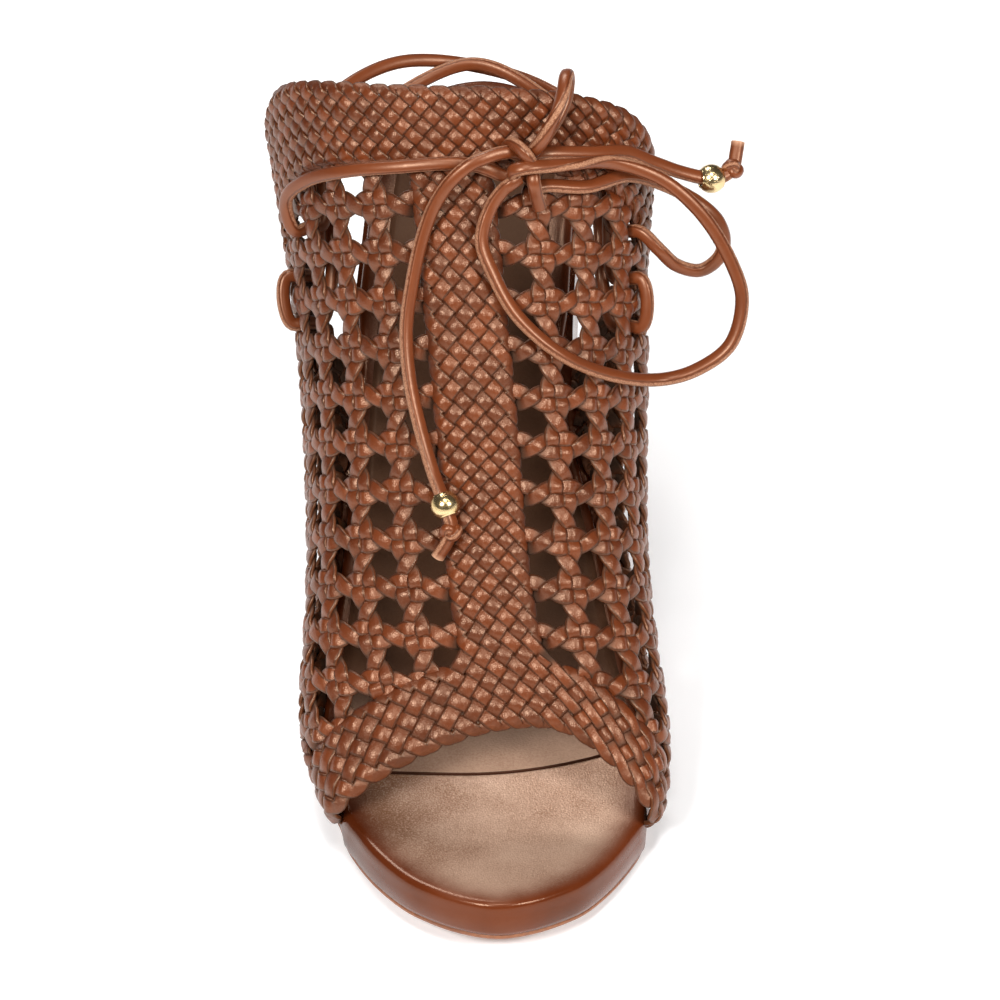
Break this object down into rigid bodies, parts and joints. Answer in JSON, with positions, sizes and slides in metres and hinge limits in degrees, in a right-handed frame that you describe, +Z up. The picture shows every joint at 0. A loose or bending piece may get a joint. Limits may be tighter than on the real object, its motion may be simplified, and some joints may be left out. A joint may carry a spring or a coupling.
{
  "type": "wedge shoe",
  "caption": "Peep-toe wedge shoe with an open-back upper woven from brown leather strips, a padded insole and a round leather cord tied in a bow at the instep.",
  "frame": {"origin": "on the floor, under the middle of the shoe's box measured without its tie", "axes": "+Z up, toe towards -Y, heel towards +Y, big-toe (medial) side towards +X"},
  "size_m": [0.1109, 0.2036, 0.1455],
  "materials": {
    "sole_leather": "smooth tan edge",
    "wedge_cover": "smooth satin cover",
    "insole_leather": "satin, taupe towards the middle",
    "woven_leather": "polished strips",
    "cord_leather": "satin round cord",
    "gold_bead": "polished pale gold"
  },
  "bodies": {
    "root": {"outsole": "sole_leather", "wedge_platform": "wedge_cover", "insole": "insole_leather", "woven_upper": "woven_leather", "tie_wraps": "cord_leather", "tie_knot": "cord_leather", "bow_loop_side": "cord_leather", "bow_loop_top": "cord_leather", "tie_end_side": "cord_leather", "tie_end_front": "cord_leather", "bead_side": "gold_bead", "bead_front": "gold_bead"}
  },
  "joints": []
}
